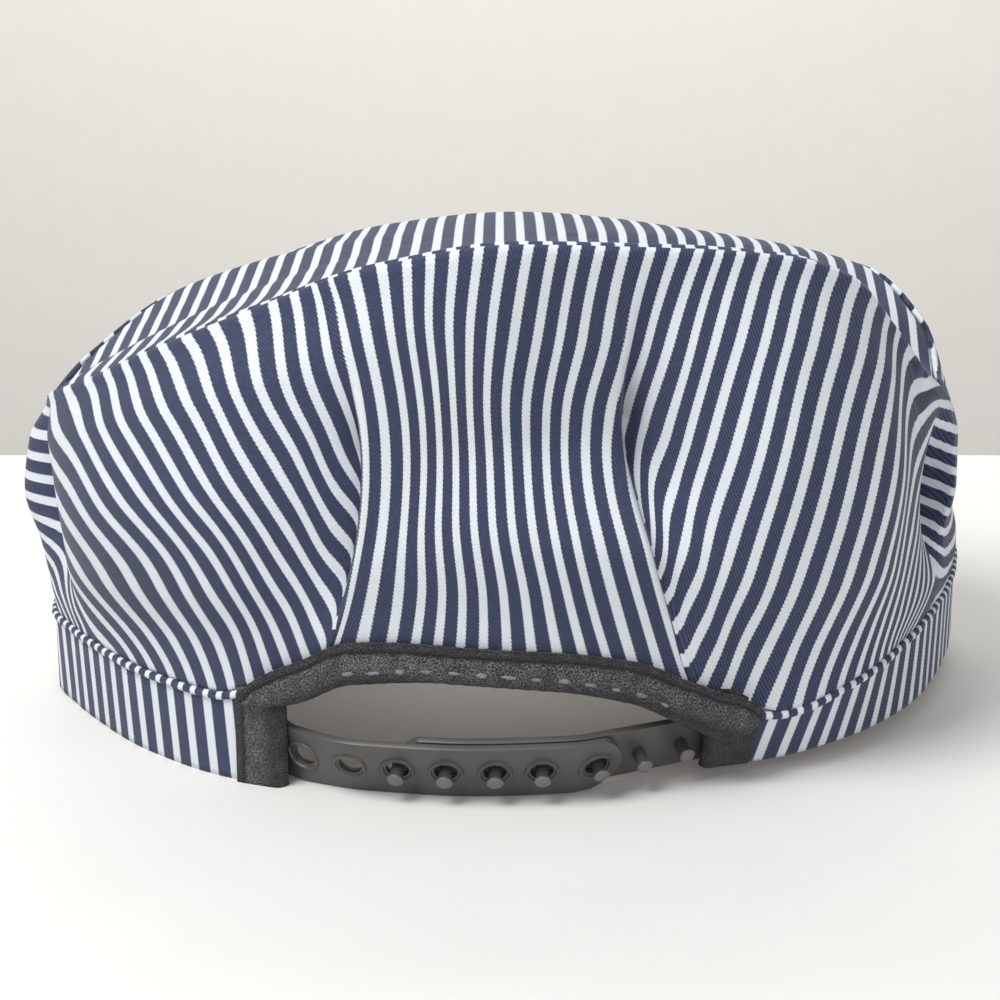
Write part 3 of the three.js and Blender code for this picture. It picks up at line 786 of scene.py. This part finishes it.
def woven_tape(name):
    """Black cotton tape with grey lint, painted highlight on its raised band and painted shade in its
    seam's groove, in the weave map's millimetres from the hem.
    """
    material, tree, shader = new_material(name, roughness=0.92, specular=0.15, sheen=0.1)
    weave = add_node(tree, "ShaderNodeUVMap", uv_map="Weave").outputs["UV"]
    parts = add_node(tree, "ShaderNodeSeparateXYZ", {0: weave})
    soft = add_noise(tree, weave, 0.3, 3.0)
    full_width = TAPE_LINT_AND_PAINTED_LIGHT[-1][0]
    from_hem = calculate(tree, "MULTIPLY_ADD", soft, 1.2, parts.outputs["Y"])
    # Ramp of painted highlight and painted shade across the tape, with its lint, by the distance from the
    # hem
    lint_and_light_ramp = add_node(tree, "ShaderNodeValToRGB", {"Fac": calculate(tree, "DIVIDE", from_hem, full_width)})
    stops = lint_and_light_ramp.color_ramp.elements
    for distance, level in TAPE_LINT_AND_PAINTED_LIGHT[1:-1]:
        stops.new(distance / full_width)
    for stop, (distance, level) in zip(stops, TAPE_LINT_AND_PAINTED_LIGHT):
        stop.position = distance / full_width
        stop.color = (level, level, level, 1)
    ribs = ripple(tree, parts.outputs["X"], 1 / TAPE_YARNS["ribs"])
    picks = ripple(tree, parts.outputs["Y"], 1 / TAPE_YARNS["picks"])
    yarns = calculate(tree, "MULTIPLY_ADD", calculate(tree, "MULTIPLY", ribs, picks), 0.5, 0.5)
    lint = add_noise(tree, weave, 2.6, 5.0)
    speckle = add_node(tree, "ShaderNodeMapRange", {
        "Value": lint,
        "From Min": 0.42,
        "From Max": 0.62,
        "To Min": 0.05,
        "To Max": 1.6,
    }).outputs[0]
    patchy = calculate(tree, "MULTIPLY_ADD", soft, 1.6, -0.1)
    worn = calculate(tree, "MULTIPLY", speckle, patchy)
    # The ramp lays painted highlight on the raised band and painted shade in the seam's groove over the
    # speckled lint
    worn = calculate(tree, "MULTIPLY", worn, lint_and_light_ramp.outputs["Color"])
    worn = calculate(tree, "MULTIPLY_ADD", yarns, 0.06, worn)
    tree.links.new(blend_colours(tree, worn, TAPE_BLACK, TAPE_GREY), shader.inputs["Base Color"])
    add_relief(tree, shader, calculate(tree, "MULTIPLY_ADD", lint, 1.6, yarns), 1.0, 0.0004)
    return material


black_tape = woven_tape("Black woven tape")
arch_tape = laid_grid("arch_binding_tape", *ARCH_TAPE_GRID, arch_tape_surface, arch_tape_weave)
thicken(arch_tape, TAPE["thickness"])
arch_tape.data.materials.append(black_tape)
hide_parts("arch_binding")
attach(arch_tape, "root")

STITCH = {"first": 0.225, "last": 0.795, "count": 13}
STITCH_ABOVE_FOLD = 1.3
STITCH_SIZE = {"half_length": 1.35, "half_height": 0.5, "half_depth": 0.3, "uneven": 0.25}
STITCH_GREY = srgb(150, 150, 154)
STITCH_SHADE = srgb(70, 70, 74)


def grey_thread(name):
    """Thick grey thread, twisted and a little dirty."""
    material, tree, shader = new_material(name, roughness=0.85)
    plies = add_noise(tree, add_node(tree, "ShaderNodeTexCoord").outputs["Object"], 1800.0, 3.0)
    tree.links.new(blend_colours(tree, plies, STITCH_SHADE, STITCH_GREY), shader.inputs["Base Color"])
    add_relief(tree, shader, plies, 0.6, 0.0001)
    return material


stitches = bmesh.new()
for number in range(STITCH["count"]):
    share = STITCH["first"] + (STITCH["last"] - STITCH["first"]) * number / (STITCH["count"] - 1)
    step = STITCH_SIZE["half_length"] / ARCH_TAPE_LENGTH
    at = np.array([share - step, share, share + step])
    leg = arch_tape_value("height", at)
    row = 1 - (leg - STITCH_ABOVE_FOLD) / (2 * leg + math.pi * TAPE_HALF_GAP)
    ends = to_frame(arch_tape_surface(at, row))
    across = to_frame(arch_tape_surface(at[1:2], row[1:2] + 0.03))[0] - ends[1]
    along_axis = Vector(ends[2] - ends[0]).normalized()
    out_axis = along_axis.cross(Vector(across)).normalized()
    if out_axis.y > 0:
        out_axis = -out_axis
    up_axis = out_axis.cross(along_axis)
    made = bmesh.ops.create_icosphere(stitches, subdivisions=2, radius=MM)
    turn = Matrix((along_axis, up_axis, out_axis)).transposed().to_4x4()
    seat = Vector(ends[1]) + out_axis * TAPE["thickness"] / 2 * MM
    length = STITCH_SIZE["half_length"] * (1 + STITCH_SIZE["uneven"] * math.sin(number * 2.4))
    height = STITCH_SIZE["half_height"] * (1 + STITCH_SIZE["uneven"] * math.sin(number * 4.1))
    size = Matrix.Diagonal((length, height, STITCH_SIZE["half_depth"], 1))
    bmesh.ops.transform(stitches, matrix=Matrix.Translation(seat) @ turn @ size, verts=made["verts"])
for face in stitches.faces:
    face.smooth = True
arch_stitches = add_piece("arch_tape_stitches", stitches)
arch_stitches.data.materials.append(grey_thread("Grey thread"))
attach(arch_stitches, "root")


END_TAPE_LENGTH = 19.0
END_TAPE_BEND = 6.0


def end_tape_surface(end_angle, ahead):
    """Tape folded round one end of the band; ahead is +1 where the band runs on to larger angles."""
    ends = oval_place(np.array([end_angle, end_angle + 1.0]), 1.0, 0.0)
    scale = np.linalg.norm(ends[1] - ends[0])

    def surface(u, v):
        half_gap = BAND_THICKNESS / 2 + SEWING_GAP + TAPE["thickness"] / 2
        across, along = folded_section(u, half_gap, TAPE["end_width"])
        angle = end_angle + ahead * (along - SEWING_GAP) / scale
        return band_place(angle, v) - outward_at(angle) * (ahead * across)[:, None]

    return surface


def end_tape_weave(u, v, middle):
    return v * END_TAPE_LENGTH, u * (2 * TAPE["end_width"] + END_TAPE_BEND)


for side, ahead in (("left", -1), ("right", 1)):
    surface = end_tape_surface(BAND_END[side], ahead)
    end_tape = laid_grid(f"end_binding_{side}_tape", *END_TAPE_GRID, surface, end_tape_weave)
    thicken(end_tape, TAPE["thickness"])
    end_tape.data.materials.append(black_tape)
    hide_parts(f"end_binding_{side}")
    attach(end_tape, "root")

# Snap strap. Two halves of dark moulded plastic, each sewn into one end of the band. The outer half has
# a row of rimmed holes, and the inner one has headed studs that are pressed through the last of them.
STRAP = {
    "end_radius": 7.8,
    "thickness": 1.5,
    "layer_gap": 0.4,
    "pitch": 9.8,
    "holes": 7,
    "first_hole": -40.4,
    "hole": 5.0,
    "rim": 7.4,
    "rim_rise": 0.35,
}
STUD_PALE_DEPTH = 0.5
STUD_STEPS = 28
PLAIN_COLUMNS = {"holed": 14, "studded": 150}
ROUNDED_EDGE = {"width": 0.16, "segments": 2, "angle": 50}
STUD = {"neck": 2.8, "head": 3.6, "head_length": 0.9, "stands_out": 2.6, "filled": 5, "free": 2}
STRAP_END = {"left": -54.0, "holed_tip": 23.8, "studded_tip": -21.0, "right": 54.0}
strap_rows = table("x y lift lean width", [
    (-54, -21.4, 0.5, 2, 12),
    (-46.5, -25.1, 0.7, 5, 12.8),
    (-41, -29.3, 1.1, 19, 14.2),
    (-28, -34.4, 1.45, 31, 16),
    (-5, -37.6, 1.5, 31, 16),
    (13, -36.9, 1.8, 31, 16),
    (22, -33.9, 2.4, 31, 15.6),
    (31.5, -30.3, 2.9, 27, 14),
    (39.5, -27.0, 3.2, 20, 12.2),
    (54, -22.0, 3.4, 18, 11.4),
])
STRAP_ROWS = 16
BORDER_RINGS = 3
rim_rows = table("radius rise", [
    (STRAP["hole"] / 2, -0.25),
    (STRAP["hole"] / 2 + 0.25, -0.15),
    (STRAP["rim"] / 2 - 0.75, -0.15),
    (STRAP["rim"] / 2 - 0.55, STRAP["rim_rise"]),
    (STRAP["rim"] / 2 - 0.1, STRAP["rim_rise"]),
    (STRAP["rim"] / 2 + 0.1, -0.1),
    (STRAP["rim"] / 2 + 0.35, 0),
])


def strap_place(x, width_share, out):
    """Place on the strap's course, standing out of its inner half. Its upper edge leans outwards."""
    value = {key: smooth(strap_rows["x"], strap_rows[key], x) for key in ("y", "lift", "lean", "width")}
    ahead = smooth(strap_rows["x"], strap_rows["y"], x + 0.5)
    turn = np.hypot(ahead - value["y"], 0.5)
    level = np.stack([(ahead - value["y"]) / turn, -0.5 / turn, np.zeros_like(turn)], axis=1)
    upright = np.array((0.0, 0.0, 1.0))
    lean = np.radians(value["lean"])[:, None]
    up = level * np.sin(lean) + upright * np.cos(lean)
    outward = level * np.cos(lean) - upright * np.sin(lean)
    place = np.stack([x, value["y"], value["lift"]], axis=1)
    return place + up * (width_share * value["width"])[:, None] + outward * np.reshape(out, (-1, 1))


STRAP_BLACK = srgb(65, 64, 64)
STRAP_WORN = srgb(88, 87, 87)
STUD_PALE = srgb(118, 117, 117)
STUD_TIP_GREY = srgb(88, 87, 87)


def moulded_plastic(name, dark, worn):
    """Dark satin plastic with a faint moulded grain and paler blotches at random."""
    material, tree, shader = new_material(name)
    place = add_node(tree, "ShaderNodeTexCoord").outputs["Object"]
    smudge = add_noise(tree, place, 90.0, 4.0)
    tree.links.new(blend_colours(tree, smudge, dark, worn), shader.inputs["Base Color"])
    rough = add_node(tree, "ShaderNodeMapRange", {"Value": smudge, "To Min": 0.3, "To Max": 0.5})
    tree.links.new(rough.outputs[0], shader.inputs["Roughness"])
    add_relief(tree, shader, add_noise(tree, place, 1400.0, 3.0), 0.15, 0.0001)
    return material


strap_plastic = moulded_plastic("Dark satin plastic", STRAP_BLACK, STRAP_WORN)
# Paler grey for the tips of the stud heads, given to the faces nearest their ends
stud_plastic = moulded_plastic("Pale stud tips", STUD_TIP_GREY, STUD_PALE)


def tip_round(width_share):
    """How far the rounded end of a half falls back at a place across its width."""
    side = np.abs(2 * width_share - 1) * 0.94
    return STRAP["end_radius"] * (1 - np.sqrt(1 - side ** 2))


def across_strap(share):
    """Width share of one of the rows, which lie closer together near the strap's edges."""
    return (1 - np.cos(share * math.pi)) / 2


def grid_shares(shape, columns, rows):
    """Adds a grid of faces, and gives its vertices with the whole-number place of each."""
    made = bmesh.ops.create_grid(shape, x_segments=columns, y_segments=rows, size=0.5)
    shares = np.array([vert.co[:2] for vert in made["verts"]]) + 0.5
    return made["verts"], np.round(shares[:, 0] * columns), np.round(shares[:, 1] * rows)


def strap_stretch(shape, from_x, to_x, out, columns, rounded=False):
    """Plain stretch of the strap, which may start with a rounded end."""
    verts, column, row = grid_shares(shape, columns, STRAP_ROWS)
    width_share = across_strap(row / STRAP_ROWS)
    start = from_x + (tip_round(width_share) if rounded else 0)
    x = start + (to_x - start) * column / columns
    for vert, place in zip(verts, to_frame(strap_place(x, width_share, np.full(len(verts), out)))):
        vert.co = place


def strap_hole(shape, hole_x, from_x, to_x, out, rounded=False):
    """Patch of the strap round one hole, in rings from the hole's rim to the patch's own border."""
    rim_rings = len(rim_rows["radius"]) - 1
    verts, walk, ring = grid_shares(shape, 4 * STRAP_ROWS, rim_rings + BORDER_RINGS)
    walk = np.mod(walk, 4 * STRAP_ROWS)
    side = np.floor(walk / STRAP_ROWS)
    share = walk / STRAP_ROWS - side
    rising = across_strap(share)
    border_v = np.select([side == 0, side == 1, side == 2], [rising, 1.0, across_strap(1 - share)], 0.0)
    far = to_x - (tip_round(border_v) if rounded else 0)
    border_x = np.select([side == 0, side == 1, side == 2], [far, far + (from_x - far) * share, from_x],
                         from_x + (far - from_x) * share)
    step = strap_place(np.array([hole_x - 0.5, hole_x + 0.5]), np.array([0.5, 0.5]), np.zeros(2))
    stretch = np.linalg.norm(step[1] - step[0])
    width = smooth(strap_rows["x"], strap_rows["width"], np.array([hole_x]))[0]
    turn = np.arctan2((border_v - 0.5) * width, (border_x - hole_x) * stretch)
    radius = np.interp(ring, range(rim_rings + 1), rim_rows["radius"])
    rise = np.interp(ring, range(rim_rings + 1), rim_rows["rise"])
    to_border = np.clip((ring - rim_rings) / BORDER_RINGS, 0, 1)
    circle_x = hole_x + radius * np.cos(turn) / stretch
    circle_v = 0.5 + radius * np.sin(turn) / width
    x = circle_x + (border_x - circle_x) * to_border
    width_share = circle_v + (border_v - circle_v) * to_border
    for vert, place in zip(verts, to_frame(strap_place(x, width_share, out + rise))):
        vert.co = place


def turned_pin(x, profile):
    """Mesh of a turned pin that stands out of the strap; the profile gives its radius at each depth."""
    shape = bmesh.new()
    verts = [shape.verts.new((radius * MM, 0, depth * MM)) for radius, depth in profile]
    edges = [shape.edges.new(pair) for pair in zip(verts, verts[1:])]
    bmesh.ops.spin(
        shape, geom=verts + edges, axis=(0, 0, 1), angle=2 * math.pi, steps=STUD_STEPS, use_merge=True
    )
    bmesh.ops.remove_doubles(shape, verts=shape.verts, dist=0.001 * MM)
    bmesh.ops.recalc_face_normals(shape, faces=shape.faces)
    top = max(depth for radius, depth in profile)
    # Faces near the tip take the second, paler material
    for face in shape.faces:
        face.material_index = int(face.calc_center_median().z > (top - STUD_PALE_DEPTH) * MM)
    seat = to_frame(strap_place(np.array([x, x]), np.array([0.5, 0.5]), np.array([0.0, 1.0])))
    axis = Vector(seat[1] - seat[0]).normalized()
    turn = Vector((0, 0, 1)).rotation_difference(axis).to_matrix().to_4x4()
    bmesh.ops.transform(shape, matrix=Matrix.Translation(Vector(seat[0])) @ turn, verts=shape.verts)
    mesh = bpy.data.meshes.new("turned pin")
    shape.to_mesh(mesh)
    shape.free()
    return mesh


def finish_strap(shape, name, node, pins=()):
    """Gives a sheet its thickness, towards the head, rounds its edges and adds its pins."""
    bmesh.ops.remove_doubles(shape, verts=shape.verts, dist=0.01 * MM)
    bmesh.ops.recalc_face_normals(shape, faces=shape.faces)
    if sum(face.normal.y for face in shape.faces) > 0:
        bmesh.ops.reverse_faces(shape, faces=shape.faces)
    sheet_faces = shape.faces[:]
    bmesh.ops.solidify(
        shape, geom=shape.verts[:] + shape.edges[:] + sheet_faces, thickness=STRAP["thickness"] * MM
    )
    bmesh.ops.recalc_face_normals(shape, faces=shape.faces)
    for pin in pins:
        shape.from_mesh(pin)
        bpy.data.meshes.remove(pin)
    for face in shape.faces:
        face.smooth = True
    piece = add_piece(name, shape)
    piece.data.materials.append(strap_plastic)
    if pins:
        piece.data.materials.append(stud_plastic)
    rounding = piece.modifiers.new("Rounded edges", "BEVEL")
    rounding.width = ROUNDED_EDGE["width"] * MM
    rounding.segments = ROUNDED_EDGE["segments"]
    rounding.limit_method = "ANGLE"
    rounding.angle_limit = math.radians(ROUNDED_EDGE["angle"])
    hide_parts(node)
    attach(piece, "root")
    return piece


hole_places = [STRAP["first_hole"] + k * STRAP["pitch"] for k in range(STRAP["holes"] + STUD["free"])]
outer_face = 1.5 * STRAP["thickness"] + STRAP["layer_gap"]

holed = bmesh.new()
holes_start = hole_places[0] - STRAP["pitch"] / 2
strap_stretch(holed, STRAP_END["left"], holes_start, outer_face, PLAIN_COLUMNS["holed"])
for x in hole_places[:STRAP["holes"]]:
    last = x == hole_places[STRAP["holes"] - 1]
    to_x = STRAP_END["holed_tip"] if last else x + STRAP["pitch"] / 2
    strap_hole(holed, x, x - STRAP["pitch"] / 2, to_x, outer_face, rounded=last)
strap_holes = finish_strap(holed, "strap_holed_half", "strap_holes")

studded = bmesh.new()
strap_stretch(studded, STRAP_END["studded_tip"], STRAP_END["right"], STRAP["thickness"] / 2,
              PLAIN_COLUMNS["studded"], rounded=True)
neck = STUD["neck"] / 2
head = STUD["head"] / 2
tip = outer_face + STRAP["rim_rise"] + STUD["stands_out"]
seat = tip - STUD["head_length"]
stud_profile = [(0.0, 0.0), (neck, 0.0), (neck, seat), (head - 0.15, seat), (head, seat + 0.15),
                (head, tip - 0.3), (head - 0.3, tip), (0.0, tip + 0.1)]
stud_places = hole_places[STRAP["holes"] - STUD["filled"]:]
studs = [turned_pin(x, stud_profile) for x in stud_places]
strap_studs = finish_strap(studded, "strap_studded_half", "strap_studs", studs)

# Stage. A pale table against an off-white wall, with one broad soft light from the upper left, weaker
# ones from the right and the front, one on the wall, and a faint one inside for light through the cloth.
TABLE_WHITE = srgb(232, 231, 228)
WALL_WHITE = srgb(250, 247, 240)
TABLE_EDGE = 0.19
WALL_Y = 1.6


def plain_paint(name, colour):
    material, tree, shader = new_material(name, roughness=0.6, specular=0.3)
    mottle = add_noise(tree, add_node(tree, "ShaderNodeTexCoord").outputs["Object"], 40.0, 6.0)
    shade = tuple(c * 0.96 for c in colour[:3]) + (1.0,)
    tree.links.new(blend_colours(tree, mottle, colour, shade), shader.inputs["Base Color"])
    return material


def stage_plane(name, corners, material):
    shape = bmesh.new()
    shape.faces.new([shape.verts.new(corner) for corner in corners])
    plane = add_piece(name, shape)
    plane.data.materials.append(material)


stage_plane("table", [(-2, -2, 0), (2, -2, 0), (2, TABLE_EDGE, 0), (-2, TABLE_EDGE, 0)],
            plain_paint("Table", TABLE_WHITE))
stage_plane("wall", [(-3, WALL_Y, -1), (3, WALL_Y, -1), (3, WALL_Y, 3), (-3, WALL_Y, 3)],
            plain_paint("Wall", WALL_WHITE))


def soft_light(name, place, aim, size, power):
    lamp = bpy.data.lights.new(name, "AREA")
    lamp.size = size
    lamp.energy = power
    light = bpy.data.objects.new(name, lamp)
    light.location = place
    light.rotation_mode = "QUATERNION"
    light.rotation_quaternion = (Vector(aim) - Vector(place)).to_track_quat("-Z", "Y")
    bpy.context.scene.collection.objects.link(light)


soft_light("key light", (-0.5, -0.45, 1.05), (0, 0, 0.05), 0.55, 13)
soft_light("fill light", (0.8, -1.0, 0.6), (0, 0, 0.05), 1.2, 3)
soft_light("low front light", (0.1, -1.6, 0.25), (0, 0, 0.04), 0.8, 4)
soft_light("wall light", (0, 0.7, 1.2), (0, 1.6, 0.35), 1.0, 15)
soft_light("light through the cloth", (0, 0, 0.075), (0, 0.02, 0), 0.08, 0.022)
world = bpy.data.worlds.new("Studio")
world.use_nodes = True
world.node_tree.nodes["Background"].inputs["Color"].default_value = (1, 1, 1, 1)
world.node_tree.nodes["Background"].inputs["Strength"].default_value = 0.33
bpy.context.scene.world = world
bpy.context.scene.view_settings.view_transform = "Standard"

CAMERA = {"elevation": 16.0, "distance": 0.54, "lens": 86.4, "target": (0.0, -0.0552, 0.055)}
tilt = math.radians(CAMERA["elevation"])
towards = Vector((0, -math.cos(tilt), math.sin(tilt)))
lens = bpy.data.cameras.new("camera")
lens.lens = CAMERA["lens"]
lens.sensor_width = 36
camera = bpy.data.objects.new("camera", lens)
camera.location = Vector(CAMERA["target"]) + towards * CAMERA["distance"]
camera.rotation_mode = "QUATERNION"
camera.rotation_quaternion = (-towards).to_track_quat("-Z", "Y")
bpy.context.scene.collection.objects.link(camera)
bpy.context.scene.camera = camera
